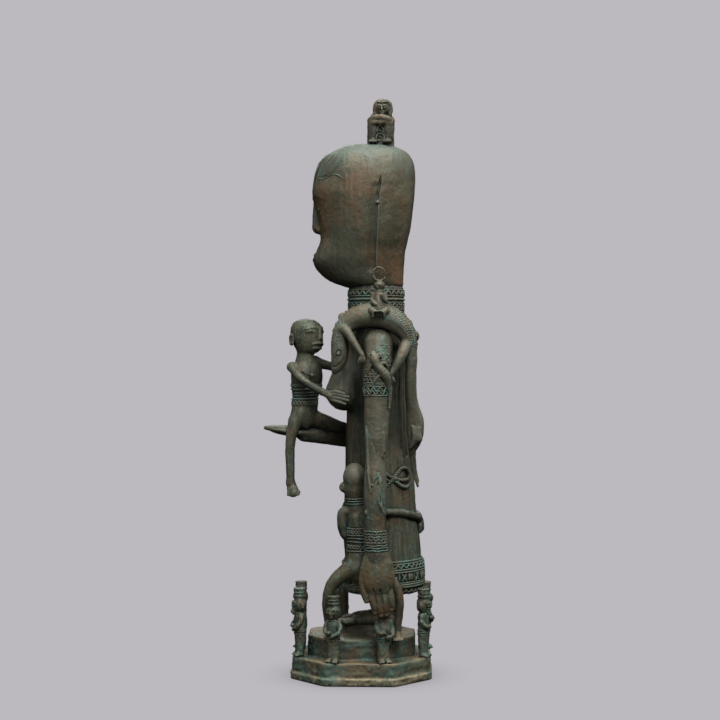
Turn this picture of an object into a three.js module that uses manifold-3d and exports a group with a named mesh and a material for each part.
// Mother and child figure: a tall lost-wax bronze, cast in one with its stepped base.
// Millimetres, +Z up. The origin is the middle of the underside of the base.
// The mother looks along -X, and her left side is -Y.

import * as THREE from 'three';
import { mergeVertices } from 'three/addons/utils/BufferGeometryUtils.js';
import Module from 'manifold-3d';

const wasm = await Module();
wasm.setup();

// Driving dimensions

const BASE = {
  reach: 111,        // from the middle to each of the four long edges
  sideHalf: 55,      // half the length of the edges at the mother's left and right
  endHalf: 45,       // half the length of the edges before and behind her
  flangeTop: 12,
  flangeStep: 2.5,
  treadTop: 35,
  tread: 27,
  blockTop: 67,
  moundTop: 88,
  moundX: 44,        // half its length
  moundY: 34,        // half its breadth
};

const ARM_Y = 100;            // how far from her middle the arms hang
const LIZARD_Y = 90;          // how far from her middle the big lizards lie
const CROWN = 843;            // top of the mother's head
const NEAR_SPREAD = 1;        // how wide the child at her left side straddles, as a share
const FAR_SPREAD = 0.66;      // and the child at her right side
const RIDER = { x: 30, hornZ: 631, hornRadius: 10 };

// Stations of the skirt, trunk and neck: height, front, back, half breadth.
const COLUMN = [
  [131, -20, 84, 50],
  [136, -25, 91, 57],
  [145, -29, 98, 62],
  [181, -30, 97, 61],
  [188, -27, 94, 59],
  [223, -29, 91, 58],
  [264, -28, 85.5, 56],
  [304, -27, 83, 55],
  [339, -26, 78, 54],
  [372, -26, 73, 55],
  [415, -24, 72, 60],
  [483, -27, 71, 68],
  [520, -30, 70, 80],
  [545, -25, 67, 88],
  [560, -20, 66, 80],
  [570, -20, 66, 47],
  [576, -21, 66, 42],
  [580, -23, 69, 44],
  [596, -23, 69, 44],
  [600, -21, 66, 42],
  [610, -21, 66, 41],
  [618, -16, 61, 37],
];

// Stations of the head in the same order, from under the jaw to the crown.
const HEAD = [
  [611, -8, 58, 26],
  [617, -30, 65, 39],
  [626, -54, 65.5, 44],
  [644, -74, 66.5, 49],
  [658, -78, 67.5, 51],
  [673, -73, 69, 53],
  [690, -66.5, 73, 56],
  [711, -69, 77.5, 59],
  [735, -73, 80.5, 61],
  [766, -79, 83.5, 62],
  [788, -76, 84.5, 60],
  [804, -72, 83.5, 56],
  [818, -64, 79, 49],
  [829, -50, 70, 39],
  [838, -30, 51, 25],
];

// Shapes that the figure is modelled from

const point = ([x, y, z]) => new THREE.Vector3(x, y, z);

// Ring of a skin: its centre and its two half axes. A power over 2 makes it boxier.
const ring = (centre, a, b, power = 2) => ({ centre, a, b, power });
const pole = (centre) => ring(centre, new THREE.Vector3(), new THREE.Vector3());

function ringPoint({ centre, a, b, power }, angle) {
  const c = Math.cos(angle);
  const s = Math.sin(angle);
  const k = (Math.abs(c) ** power + Math.abs(s) ** power) ** (-1 / power);
  return centre.clone().addScaledVector(a, c * k).addScaledVector(b, s * k);
}

// Closed skin over rings, the first and the last of which are poles.
function skin(rings, sides) {
  const geometry = new THREE.SphereGeometry(1, sides, rings.length - 1);
  const position = geometry.attributes.position;
  for (let row = 0; row < rings.length; row += 1) {
    for (let side = 0; side <= sides; side += 1) {
      const { x, y, z } = ringPoint(rings[row], (2 * Math.PI * (side % sides)) / sides);
      position.setXYZ(row * (sides + 1) + side, x, y, z);
    }
  }
  return geometry;
}

// Upright form through stations of height, front, back and half breadth, with a
// low dome of the given height over each end.
function upright(stations, sides, { power = 2, dome = [0, 0] } = {}) {
  const rings = stations.map(([z, front, back, half]) => ring(
    point([(front + back) / 2, 0, z]),
    point([(back - front) / 2, 0, 0]),
    point([0, half, 0]),
    power,
  ));
  const bottom = pole(rings[0].centre.clone().add(point([0, 0, -dome[0]])));
  const top = pole(rings[rings.length - 1].centre.clone().add(point([0, 0, dome[1]])));
  return skin([bottom, ...rings, top], sides);
}

// Limb through joints [x, y, z, radius], pointed a little at both ends. flat squeezes it
// along the direction across, which makes a hand or a foot of it.
function limb(joints, { sides = 5, steps = 1, flat = 1, across = [0, 1, 0] } = {}) {
  const curve = new THREE.CatmullRomCurve3(joints.map(point));
  const last = joints.length - 1;
  const centre = (t, along) => {
    const radius = joints[Math.round(t * last)][3];
    return curve.getPoint(t).addScaledVector(curve.getTangent(t), along * radius);
  };
  const rings = [pole(centre(0, -0.75))];
  for (let i = 0; i <= last * steps; i += 1) {
    const t = i / (last * steps);
    const span = Math.min(Math.floor(t * last), last - 1);
    const radius = THREE.MathUtils.lerp(joints[span][3], joints[span + 1][3], t * last - span);
    const tangent = curve.getTangent(t);
    const side = new THREE.Vector3().crossVectors(tangent, point(across)).normalize();
    const thin = new THREE.Vector3().crossVectors(side, tangent).normalize();
    rings.push(ring(
      curve.getPoint(t),
      side.multiplyScalar(radius),
      thin.multiplyScalar(radius * flat),
    ));
  }
  rings.push(pole(centre(1, 0.75)));
  return skin(rings, sides);
}

// Egg-shaped form: centre and three half axes.
function egg([x, y, z], [rx, ry, rz], sides = 7, rows = 5) {
  const ball = new THREE.SphereGeometry(1, sides, rows);
  ball.rotateX(Math.PI / 2);
  ball.scale(rx, ry, rz);
  ball.translate(x, y, z);
  return ball;
}

// Place on the skirt or trunk at a height: angle 0 is her back, 90 her left side and
// 180 her front. lift is how far it stands off the surface.
function onColumn(angle, z, lift) {
  const above = COLUMN.findIndex(([height]) => height > z);
  const [low, high] = [COLUMN[above - 1], COLUMN[above]];
  const share = (z - low[0]) / (high[0] - low[0]);
  const [front, back, half] = [1, 2, 3].map((i) => THREE.MathUtils.lerp(low[i], high[i], share));
  const a = THREE.MathUtils.degToRad(angle);
  const x = (front + back) / 2 + ((back - front) / 2 + lift) * Math.cos(a);
  return [x, -(half + lift) * Math.sin(a), z];
}

// The same forms on her other side.
const mirrored = (forms) => forms.map((form) => form.clone().scale(1, -1, 1));

// The base and what stands on it

// One step of the base: an octagon whose edges lie inset from the outermost ones.
function octagonStep(inset, bottom, top) {
  const r = BASE.reach - inset;
  const cut = inset * Math.tan(Math.PI / 8);
  const f = BASE.sideHalf - cut;
  const e = BASE.endHalf - cut;
  const corners = [[f, -r], [r, -e], [r, e], [f, r], [-f, r], [-r, e], [-r, -e], [-f, -r]];
  const outline = new THREE.Shape(corners.map(([x, y]) => new THREE.Vector2(x, y)));
  const step = new THREE.ExtrudeGeometry(outline, { depth: top - bottom, bevelEnabled: false });
  return step.translate(0, 0, bottom);
}

function buildBase() {
  const { moundX, moundY, moundTop, blockTop } = BASE;
  const mound = [
    [blockTop - 5, 0], [blockTop + 4, 2], [blockTop + 12, 5], [moundTop - 2, 10], [moundTop, 16],
  ];
  const stations = mound.map(([z, inset]) => (
    [z, inset / 2 - moundX, moundX - inset / 2, moundY - inset]
  ));
  return [
    octagonStep(0, 0, BASE.flangeTop),
    octagonStep(BASE.flangeStep, BASE.flangeTop - 1, BASE.treadTop),
    octagonStep(BASE.tread, BASE.treadTop - 1, blockTop),
    upright(stations, 12, { power: 2.4 }),
  ];
}

// Small hatted figure with bent arms, built facing -Y with its soles at height 0.
function buildAttendant() {
  const profile = [
    [0, 9.8, 7], [8, 9.2, 7], [38, 11, 8.4], [54, 9.8, 8.4], [64, 10.8, 8.2], [69, 8.2, 6.8],
    [75, 10.6, 9.6], [86, 11, 10.4], [92, 8.8, 8.8], [107, 9, 9],
  ].map(([z, x, y]) => [z, -x, x, y]);
  const arm = (out) => [[out * 9.5, 0, 65, 4], [out * 13, -3, 56, 3.8], [out * 3, -10, 46, 3.4]];
  const toes = [[-5, -5.5, 2.8, 4.6], [5, -5.5, 2.8, 4.6]];
  return [
    upright(profile, 6, { dome: [0, 1] }),
    limb(arm(-1), { sides: 4 }),
    limb(arm(1), { sides: 4 }),
    limb(toes, { sides: 4 }),
  ];
}

// The eight attendants, one at each corner of the tread, each with its back to the mother.
// The two nearest her left hand are a little smaller, and one of them has a round belly.
function buildAttendants() {
  const places = [
    [-40, -98, 0.96], [37, -98, 0.98], [98, -41, 1], [-96, -41, 1],
    [100, 41, 1], [-100, 41, 1], [40, 98, 0.98], [-40, 98, 0.98],
  ];
  const belly = egg([0, -4, 53], [9.4, 8, 10], 6, 4);
  const one = buildAttendant();
  return places.flatMap(([x, y, size], i) => {
    const turn = Math.atan2(y, x) + Math.PI / 2;
    const all = i === 1 ? [...one, belly] : one;
    return all.map((form) => (
      form.clone().scale(size, size, size).rotateZ(turn).translate(x, y, BASE.treadTop)
    ));
  });
}

// The mother

// Skirt, trunk and neck in one, with the breasts, ankles and feet.
function buildTrunk() {
  const breast = [
    [-4, -32, 508, 24], [-16, -36, 477, 27.5], [-26, -38, 449, 29.5], [-27, -38.5, 432, 23],
  ];
  const ankle = [[36, -20, 145, 15], [35, -20, 112, 13], [34, -20, 96, 12]];
  const foot = [[44, -20, 91, 9], [18, -20.5, 91, 9.6], [-10, -22, 88.5, 9], [-24, -22.5, 87, 7]];
  const side = [
    limb(breast, { sides: 9 }),
    limb(ankle, { sides: 6 }),
    limb(foot, { sides: 5 }),
  ];
  return [upright(COLUMN, 14, { power: 2.1 }), ...side, ...mirrored(side)];
}

// Bow of rope on the skirt, behind her left hip.
function buildBow() {
  const rope = (route, radius) => limb(
    route.map(([angle, z]) => [...onColumn(angle, z, 1.5), radius]),
    { sides: 4 },
  );
  return [
    rope([[48, 304], [58, 318], [42, 332], [27, 325], [36, 308]], 3.4),
    rope([[78, 330], [56, 314], [28, 303]], 3.4),
  ];
}

// Big mask-like head, with its nose and mouth.
function buildHead() {
  const nose = [[-71, 0, 757, 5.5], [-71.5, 0, 732, 7.6], [-68.6, 0, 710, 10.8]];
  const lips = [[-68, -24, 660, 5], [-74, 0, 660, 6], [-68, 24, 660, 5]];
  return [
    upright(HEAD, 14, { power: 2.2, dome: [3, 5] }),
    limb(nose, { sides: 5 }),
    limb(lips, { sides: 4, across: [0, 0, 1] }),
  ];
}

// Finger or thumb from its knuckle to its tip.
function finger(knuckle, tip, radius) {
  const middle = knuckle.map((value, i) => (value + tip[i]) / 2);
  return limb([[...knuckle, radius], [...middle, radius], [...tip, radius * 0.8]], { sides: 4 });
}

// Left arm hanging straight, with its armlet, cuff and open hand.
function buildHangingArm() {
  const y = -ARM_Y;
  const arm = [
    [28, y + 6, 522, 23], [28.4, y + 1, 490, 22], [28, y, 482, 22.6], [27, y - 1, 446, 22],
    [27, y - 1, 440, 19.8], [26, y - 2, 400, 18.6], [25, y - 3, 351, 15.6],
    [24.4, y - 4, 318, 17.2], [24.4, y - 5, 282, 17.6], [24, y - 6, 242, 15.6],
    [24, y - 6, 236, 18], [26, y - 7, 208, 18], [26, y - 7, 202, 15.5],
  ];
  const palm = [[26.5, y - 8, 200, 18], [27.5, y - 11, 172, 27], [28, y - 12, 152, 26]];
  return [
    limb(arm, { sides: 8 }),
    limb(palm, { sides: 6, flat: 0.5 }),
    finger([6.4, y - 12, 162], [11.5, y - 15, 132], 6.4),
    finger([18.5, y - 14, 144], [25, y - 14.5, 115], 6.2),
    finger([28, y - 15, 140], [33.6, y - 15, 111.4], 6.4),
    finger([38, y - 15, 140], [42, y - 15, 112.6], 6.2),
    finger([47, y - 14, 144], [50, y - 14.5, 120], 5.8),
  ];
}

// Right arm, bent at the elbow, with the open hand that the carried child sits on.
function buildCarryingArm() {
  const y = ARM_Y;
  const upper = [
    [27, y - 6, 522, 22], [27, y - 1, 482, 20.5], [27, y, 444, 20], [29, y - 2, 400, 18],
    [28, y - 8, 376, 16],
  ];
  const fore = [
    [32, y - 6, 380, 16], [4, y - 20, 374, 16], [-28, y - 52, 374, 15.4],
    [-62, y - 80, 379, 14.6], [-92, y - 94, 382, 13.4],
  ];
  const palm = [[-92, 8, 382, 13], [-114, 0, 385, 18], [-132, -4, 388, 16]];
  return [
    limb(upper, { sides: 8 }),
    limb(fore, { sides: 8, across: [0, 0, 1] }),
    limb(palm, { sides: 6, flat: 0.42, across: [0, 0, 1] }),
    finger([-128, -15, 388], [-152, -13, 391], 4.6),
    finger([-130, -5, 389], [-153, -3, 391.5], 4.6),
    finger([-130, 5, 389], [-150, 8, 391], 4.6),
    finger([-106, 14, 386], [-128, 20, 390], 4.6),
  ];
}

// Child who sits on her right hand, faces her and holds her breast.
function buildCarriedChild() {
  const trunk = [
    [-90, -7, 518, 12], [-90, -6, 504, 13.4], [-88.5, -5, 492, 17], [-88, -5, 475, 25.5],
    [-88, -5, 460, 25.5],
    [-90, -5, 444, 21.5], [-91, -5, 424, 22.5], [-91, -5, 404, 21],
  ];
  const nearArm = [
    [-109, -17, 492, 8.6], [-101, -30, 480, 7], [-78, -44, 461, 6.4], [-54, -57, 447.5, 6.2],
    [-33, -69, 444, 6.5],
  ];
  const farArm = [[-76, 4, 497, 9], [-56, 15, 490, 7.2], [-14, 27, 480, 6]];
  const nearLeg = [
    [-98, -12, 414, 14.5], [-108, -19, 390, 10], [-113, -21, 356, 7.8], [-112.5, -21, 305, 6.8],
  ];
  const foot = [[-112, -21, 307, 7], [-109.5, -24, 296, 7.4], [-107, -28, 286.5, 5.5]];
  const farLeg = [
    [-84, 2, 408, 14.5], [-57, 12, 399, 11.5], [-30, 34, 389, 9.4], [-8, 57, 385, 7.8],
    [20, 65, 378, 6.4],
  ];
  return [
    limb(trunk, { sides: 7, flat: 0.74, across: [0.63, -0.77, 0] }),
    egg([-87.5, -8, 540], [25, 21.5, 24.5], 7, 6),
    egg([-83.5, -8, 526], [21.5, 19, 16], 7, 5),
    egg([-107.5, -18, 532], [6, 6, 8], 4, 4),
    egg([-92, 10.5, 532], [6, 7, 8], 4, 4),
    limb(nearArm),
    limb(farArm),
    limb(nearLeg),
    limb(foot, { flat: 0.8 }),
    limb(farLeg, { across: [0, 0, 1] }),
  ];
}

// Child who stands on the block at her left side and hugs the skirt, its back outward.
// spread is how wide it straddles.
function buildSideChild(spread) {
  const trunk = [
    [-9, -73, 302, 12], [-5, -71, 276, 13], [1, -70, 263, 24], [3, -72, 236, 23],
    [4, -72, 208, 22.5], [4, -73, 188, 25.5], [4, -74, 172, 25],
  ];
  const frontArm = [
    [-17, -72, 266, 9.6], [-28, -73, 254, 8.2], [-27, -73, 237, 7.2],
    [...onColumn(128, 219, 3), 6.6],
  ];
  const backArm = [
    [20, -74, 262, 8.4],
    ...[[62, 262], [38, 257.5], [14, 251]].map(([angle, z]) => [...onColumn(angle, z, 3), 6.2]),
    [...onColumn(1, 234, 3.4), 7.4],
  ];
  const ankle = (out) => (4 + out * 51.5) * spread;
  const leg = (out) => [
    [4 + out * 15 * spread, -76, 178, 14], [4 + out * 41 * spread, -80, 161, 10.6],
    [4 + out * 51 * spread, -80, 145, 9], [4 + out * 55 * spread, -79, 122, 7.4],
    [ankle(out), -75, BASE.blockTop + 8, 6.6],
  ];
  const foot = (out) => [
    [ankle(out), -72, BASE.blockTop + 6, 7], [ankle(out) + out * 2, -90, BASE.blockTop + 4, 6.5],
  ];
  return [
    limb(trunk, { sides: 7, flat: 0.7 }),
    egg([-8.5, -74, 314], [18, 20, 25], 7, 6),
    egg([-25.5, -74, 302.5], [7.4, 7, 8.4], 4, 4),
    limb(frontArm),
    limb(backArm, { across: [0, 0, 1] }),
    ...[-1, 1].map((out) => limb(leg(out), { sides: 5 })),
    ...[-1, 1].map((out) => limb(foot(out), { sides: 4, across: [1, 0, 0] })),
  ];
}

// The animals and riders

// Long lizard over her left shoulder, its head at the breast, its tail down her back.
function buildLizard() {
  const y = -LIZARD_Y;
  const body = [
    [-38, y, 481, 5], [-33, y, 501, 10.5], [-31, y, 522, 12], [-27.5, y, 543, 13.4],
    [-14, y, 558.5, 16], [4, y, 566, 18.5], [25, y, 567, 19.5], [46, y, 562, 19],
    [64, y, 550, 16.5], [75, y, 534, 12.2], [78.5, y, 515, 9.4], [78, y + 5, 470, 8.8],
    [79.5, y + 14, 436, 10], [84, y + 22, 410, 11.5], [84.5, y + 26, 382, 10.5],
    [81, y + 33, 358, 5.4], [89, y + 40, 302, 3],
  ];
  const frontLeg = [
    [-24, y - 9, 547, 9], [-15, y - 15, 537, 6.6], [-6, y - 19, 521, 5.4], [5, y - 21.5, 502, 5.5],
  ];
  const hindLeg = [
    [72, y - 2, 527, 9], [67, y - 15, 511, 8.8], [60, y - 20, 497, 7.2], [49, y - 22, 473, 5.4],
  ];
  const farFrontLeg = [[-18, y + 6, 552, 8.5], [-28, y + 18, 565, 6.5], [2, y + 34, 552, 6]];
  const farHindLeg = [[58, y + 6, 548, 9], [82, y + 18, 536, 7.5], [50, y + 38, 525, 6.5]];
  return [
    limb(body, { sides: 6 }),
    ...[frontLeg, hindLeg, farFrontLeg, farHindLeg].map((leg) => limb(leg, { sides: 4 })),
  ];
}

// Rider who sits cross-legged on the big lizard, hands on its chest, under a crescent of horns.
function buildRider() {
  const y = -LIZARD_Y;
  const { x, hornZ, hornRadius } = RIDER;
  const crescent = [];
  for (let i = 0; i <= 6; i += 1) {
    const angle = THREE.MathUtils.degToRad(35 + i * 48);
    const radius = 1.6 + 1.4 * Math.sin((Math.PI * i) / 6);
    const across = hornRadius * Math.cos(angle);
    crescent.push([x + across, y, hornZ + hornRadius * Math.sin(angle), radius]);
  }
  const trunk = [
    [x, y - 11, 570, 10.5], [x, y - 8, 586, 9], [x, y - 3, 601, 9], [x, y - 1, 606, 6],
    [x, y - 1, 612, 8.8], [x, y - 1, 619, 6],
  ];
  const arm = (out) => [
    [x + out * 8, y - 3, 601, 4.2], [x + out * 11, y - 9, 592, 3.8], [x + out * 3, y - 17, 590, 3.4],
  ];
  const shins = [[x - 12, y - 16, 574, 6.4], [x, y - 24, 569, 5.6], [x + 12, y - 16, 574, 6.4]];
  return [
    limb(crescent, { sides: 4 }),
    limb(trunk, { flat: 0.85 }),
    limb(arm(-1), { sides: 4 }),
    limb(arm(1), { sides: 4 }),
    limb(shins, { sides: 5, across: [0, 0, 1] }),
  ];
}

// Small lizard that climbs the left upper arm.
function buildSmallLizard() {
  const y = -ARM_Y - 19;
  const body = [
    [24, y, 504, 8], [27, y - 1, 492, 5], [37, y - 2, 479, 5.6], [46, y, 466, 4.2],
    [48, y + 6, 428, 2.5],
  ];
  const legs = [
    [[41, y + 2, 495, 3.4], [29, y - 1, 491, 3.8], [16, y + 1, 485, 3.2]],
    [[38, y, 478, 3.8], [30, y, 466, 3.2]],
  ];
  return [limb(body, { sides: 5 }), ...legs.map((joints) => limb(joints, { sides: 4 }))];
}

// Small figure that squats on the crown, its arms folded on the raised knees.
function buildCrownFigure() {
  const z = CROWN;
  const shin = (knee, foot) => [[knee, -9, z + 32, 9.8], [foot, -9, z + 5, 9], [foot, -17, z + 2, 4.6]];
  const arms = [
    [17, 2, z + 36, 7.4], [17, -10, z + 37, 6.4], [31, -18, z + 36, 6.4], [44, -10, z + 35.5, 6.4],
    [44.5, 2, z + 36, 7.4],
  ];
  return [
    limb([
      [31, 3, z - 10, 23], [29.5, 5, z + 2, 21.5], [30, 5, z + 26, 21.5], [31, 3, z + 36, 17],
      [32.5, -1, z + 42, 11], [33, -2, z + 54, 14.5], [33, -2, z + 66, 9],
    ], { sides: 7, flat: 0.78 }),
    limb(shin(19, 18.5), { sides: 5 }),
    limb(shin(41, 41), { sides: 5 }),
    limb(arms, { sides: 5, across: [0, 0, 1] }),
  ];
}

// Casting the forms into one solid

// Solid from a closed geometry, with its faces turned outward.
function solidFrom(form) {
  const bare = form.clone();
  bare.deleteAttribute('normal');
  bare.deleteAttribute('uv');
  const { index, attributes } = mergeVertices(bare, 1e-4);
  const corners = [];
  for (let i = 0; i < index.count; i += 3) {
    const [p, q, r] = [index.getX(i), index.getX(i + 1), index.getX(i + 2)];
    if (p !== q && q !== r && r !== p) {
      corners.push(p, q, r);
    }
  }
  if (signedVolume(attributes.position, corners) < 0) {
    corners.reverse();
  }
  return new wasm.Manifold(new wasm.Mesh({
    numProp: 3,
    vertProperties: new Float32Array(attributes.position.array),
    triVerts: new Uint32Array(corners),
  }));
}

function signedVolume(position, corners) {
  const at = (i) => new THREE.Vector3().fromBufferAttribute(position, corners[i]);
  let sum = 0;
  for (let i = 0; i < corners.length; i += 3) {
    sum += at(i).dot(at(i + 1).cross(at(i + 2))) / 6;
  }
  return sum;
}

function geometryOf(solid) {
  const { vertProperties, triVerts } = solid.getMesh();
  const geometry = new THREE.BufferGeometry();
  geometry.setAttribute('position', new THREE.BufferAttribute(vertProperties, 3));
  geometry.setIndex(new THREE.BufferAttribute(triVerts, 1));
  geometry.computeVertexNormals();
  return geometry;
}

const overHerShoulder = [...buildLizard(), ...buildRider()];
const forms = [
  ...buildBase(),
  ...buildTrunk(),
  ...buildBow(),
  ...buildHead(),
  ...buildHangingArm(),
  ...buildSmallLizard(),
  ...buildCarryingArm(),
  ...buildCarriedChild(),
  ...buildSideChild(NEAR_SPREAD),
  ...mirrored(buildSideChild(FAR_SPREAD)),
  ...overHerShoulder,
  ...mirrored(overHerShoulder),
  ...buildCrownFigure(),
  ...buildAttendants(),
];
const casting = forms.map(solidFrom).reduce((whole, next) => whole.add(next));

const bronze = new THREE.MeshStandardMaterial({ color: 0x4a5348, roughness: 0.62, metalness: 0.75 });
const figure = new THREE.Mesh(geometryOf(casting), bronze);
figure.name = 'mother_and_child_bronze';

const group = new THREE.Group();
group.add(figure);

export default group;
